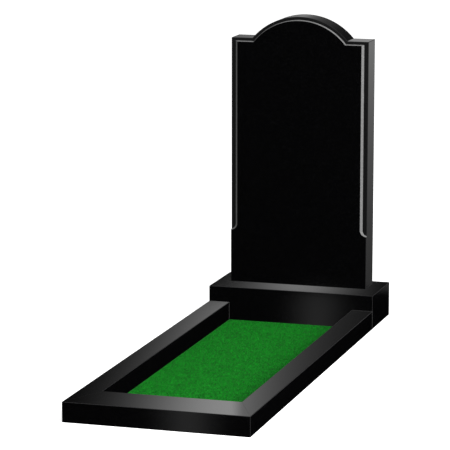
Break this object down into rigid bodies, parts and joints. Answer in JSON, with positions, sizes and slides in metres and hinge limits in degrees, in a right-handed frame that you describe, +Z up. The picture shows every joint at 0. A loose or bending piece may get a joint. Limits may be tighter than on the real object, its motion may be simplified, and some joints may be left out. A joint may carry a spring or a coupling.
{
  "type": "headstone with plinth and grave kerb",
  "caption": "Polished black granite headstone with an arched, shouldered head and a raised bevelled panel, standing on a plinth behind a mitred kerb that frames a bed of green turf.",
  "frame": {"origin": "on the ground, at the centre of the whole set's footprint", "axes": "+Z up, +Y from the front bar of the kerb towards the headstone, +X to the right of someone who stands at the front bar and faces the headstone"},
  "size_m": [0.6, 1.751, 1.0803],
  "materials": {
    "black_granite": "polished",
    "green_turf": "short blades, matte"
  },
  "bodies": {
    "root": {"headstone": "black_granite", "plinth": "black_granite", "kerb_left": "black_granite", "kerb_right": "black_granite", "kerb_front": "black_granite", "turf": "green_turf"}
  },
  "joints": []
}
